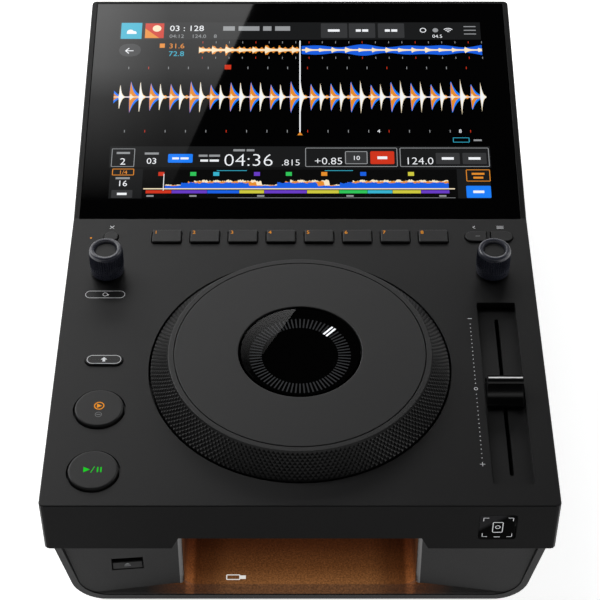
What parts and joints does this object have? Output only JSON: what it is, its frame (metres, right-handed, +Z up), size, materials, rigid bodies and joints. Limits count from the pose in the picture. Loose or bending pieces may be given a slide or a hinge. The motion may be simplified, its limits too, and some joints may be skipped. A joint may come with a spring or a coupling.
{
  "type": "tabletop media player",
  "caption": "Tabletop DJ media player with a sloped touch screen, a large knurled jog wheel, a long tempo fader, cue pads and a lit USB bay.",
  "frame": {"origin": "middle of the footprint, on the plane that the feet stand on", "axes": "+Z up, +Y towards the rear edge and the screen, +X to the user's right"},
  "size_m": [0.2514, 0.368, 0.1097],
  "materials": {
    "case_dark": "fine satin texture",
    "tub_grey": "fine spark texture",
    "panel_grey": "grained",
    "bay_amber": "satin, lit from above",
    "light_amber": "frosted light guide",
    "screen_glass": "gloss, black printed border",
    "knurl_black": "satin",
    "key_dark": "satin",
    "knob_blue_grey": "satin",
    "knob_top": "satin disc",
    "cap_black": "half gloss",
    "steel": "plated sheet",
    "aluminium": "cast",
    "socket_black": "moulded",
    "board_green": "solder mask",
    "supply_grey": "painted cover",
    "rubber": "matte"
  },
  "bodies": {
    "root": {"top_panel": "case_dark", "lower_tub": "tub_grey", "front_panel": "panel_grey", "usb_bay_liner": "bay_amber", "bay_light_strip": "light_amber", "bay_cover": "case_dark", "usb_a_port": "steel", "usb_c_port": "steel", "rear_panel": "panel_grey", "power_inlet": "socket_black", "lan_jack": "steel", "rca_left": "steel", "rca_right": "steel", "display_glass": "screen_glass", "display_module": "steel", "display_bracket": "aluminium", "jog_display_lens": "screen_glass", "jog_display_module": "board_green", "jog_hub": "aluminium", "jog_bearing": "steel", "jog_sensor": "socket_black", "loop_encoder": "socket_black", "browse_encoder": "socket_black", "fader_tray": "case_dark", "fader_body": "steel", "touch_plate": "screen_glass", "key_board": "board_green", "main_board": "board_green", "power_supply": "supply_grey", "foot_1": "rubber", "foot_2": "rubber", "foot_3": "rubber", "foot_4": "rubber"},
    "jog": {"jog_ring": "knurl_black", "jog_top_plate": "case_dark", "jog_encoder_ring": "knurl_black"},
    "tempo_fader": {"fader_cap": "cap_black", "fader_carriage": "steel"},
    "loop_push_rod": {"loop_plunger": "steel"},
    "loop_turning_knob": {"loop_knob": "knob_blue_grey", "loop_knob_insert": "knob_top"},
    "browse_push_rod": {"browse_plunger": "steel"},
    "browse_turning_knob": {"browse_knob": "knob_blue_grey", "browse_knob_insert": "knob_top"},
    "pad_1_body": {"pad_1": "key_dark"},
    "pad_2_body": {"pad_2": "key_dark"},
    "pad_3_body": {"pad_3": "key_dark"},
    "pad_4_body": {"pad_4": "key_dark"},
    "pad_5_body": {"pad_5": "key_dark"},
    "pad_6_body": {"pad_6": "key_dark"},
    "pad_7_body": {"pad_7": "key_dark"},
    "pad_8_body": {"pad_8": "key_dark"},
    "delete_button_body": {"delete_button": "key_dark"},
    "back_button_body": {"back_button": "key_dark"},
    "tag_button_body": {"tag_button": "key_dark"},
    "shift_button_body": {"shift_button": "key_dark"},
    "cue_button_body": {"cue_button": "key_dark"},
    "play_button_body": {"play_button": "key_dark"},
    "eject_button_body": {"eject_button": "key_dark"},
    "power_button_body": {"power_button": "socket_black"}
  },
  "joints": [
    {"name": "jog_spin", "type": "hinge", "parent": "root", "child": "jog", "pos_m": [0, -0.09196, 0.0817], "axis": [0, 0, 1], "continuous": true},
    {"name": "tempo_slide", "type": "slide", "parent": "root", "child": "tempo_fader", "axis": [0, -1, 0], "range_m": [-0.05, 0.05]},
    {"name": "pad_1_press", "type": "slide", "parent": "root", "child": "pad_1_body", "axis": [0, 0, -1], "range_m": [0, 0.0007], "stiffness_N_per_m": 1500, "springref_m": -0.0004},
    {"name": "pad_2_press", "type": "slide", "parent": "root", "child": "pad_2_body", "axis": [0, 0, -1], "range_m": [0, 0.0007], "stiffness_N_per_m": 1500, "springref_m": -0.0004},
    {"name": "pad_3_press", "type": "slide", "parent": "root", "child": "pad_3_body", "axis": [0, 0, -1], "range_m": [0, 0.0007], "stiffness_N_per_m": 1500, "springref_m": -0.0004},
    {"name": "pad_4_press", "type": "slide", "parent": "root", "child": "pad_4_body", "axis": [0, 0, -1], "range_m": [0, 0.0007], "stiffness_N_per_m": 1500, "springref_m": -0.0004},
    {"name": "pad_5_press", "type": "slide", "parent": "root", "child": "pad_5_body", "axis": [0, 0, -1], "range_m": [0, 0.0007], "stiffness_N_per_m": 1500, "springref_m": -0.0004},
    {"name": "pad_6_press", "type": "slide", "parent": "root", "child": "pad_6_body", "axis": [0, 0, -1], "range_m": [0, 0.0007], "stiffness_N_per_m": 1500, "springref_m": -0.0004},
    {"name": "pad_7_press", "type": "slide", "parent": "root", "child": "pad_7_body", "axis": [0, 0, -1], "range_m": [0, 0.0007], "stiffness_N_per_m": 1500, "springref_m": -0.0004},
    {"name": "pad_8_press", "type": "slide", "parent": "root", "child": "pad_8_body", "axis": [0, 0, -1], "range_m": [0, 0.0007], "stiffness_N_per_m": 1500, "springref_m": -0.0004},
    {"name": "delete_press", "type": "slide", "parent": "root", "child": "delete_button_body", "axis": [0, 0, -1], "range_m": [0, 0.0007], "stiffness_N_per_m": 1500, "springref_m": -0.0004},
    {"name": "back_press", "type": "slide", "parent": "root", "child": "back_button_body", "axis": [0, 0, -1], "range_m": [0, 0.0007], "stiffness_N_per_m": 1500, "springref_m": -0.0004},
    {"name": "tag_press", "type": "slide", "parent": "root", "child": "tag_button_body", "axis": [0, 0, -1], "range_m": [0, 0.0007], "stiffness_N_per_m": 1500, "springref_m": -0.0004},
    {"name": "shift_press", "type": "slide", "parent": "root", "child": "shift_button_body", "axis": [0, 0, -1], "range_m": [0, 0.0007], "stiffness_N_per_m": 1500, "springref_m": -0.0004},
    {"name": "cue_press", "type": "slide", "parent": "root", "child": "cue_button_body", "axis": [0, 0, -1], "range_m": [0, 0.0007], "stiffness_N_per_m": 1500, "springref_m": -0.0004},
    {"name": "play_press", "type": "slide", "parent": "root", "child": "play_button_body", "axis": [0, 0, -1], "range_m": [0, 0.0007], "stiffness_N_per_m": 1500, "springref_m": -0.0004},
    {"name": "eject_press", "type": "slide", "parent": "root", "child": "eject_button_body", "axis": [-0.0809, 0.995, -0.0593], "range_m": [0, 0.001], "stiffness_N_per_m": 1200, "springref_m": -0.0004},
    {"name": "power_press", "type": "slide", "parent": "root", "child": "power_button_body", "axis": [0, -1, 0], "range_m": [0, 0.0015], "stiffness_N_per_m": 1200, "springref_m": -0.0008},
    {"name": "loop_push", "type": "slide", "parent": "root", "child": "loop_push_rod", "axis": [0, 0, -1], "range_m": [0, 0.0005], "stiffness_N_per_m": 3000, "springref_m": -0.0003},
    {"name": "loop_turn", "type": "hinge", "parent": "loop_push_rod", "child": "loop_turning_knob", "pos_m": [-0.10375, -0.02226, 0.0817], "axis": [0, 0, 1], "continuous": true},
    {"name": "browse_push", "type": "slide", "parent": "root", "child": "browse_push_rod", "axis": [0, 0, -1], "range_m": [0, 0.0005], "stiffness_N_per_m": 3000, "springref_m": -0.0003},
    {"name": "browse_turn", "type": "hinge", "parent": "browse_push_rod", "child": "browse_turning_knob", "pos_m": [0.10375, -0.02226, 0.0817], "axis": [0, 0, 1], "continuous": true}
  ]
}
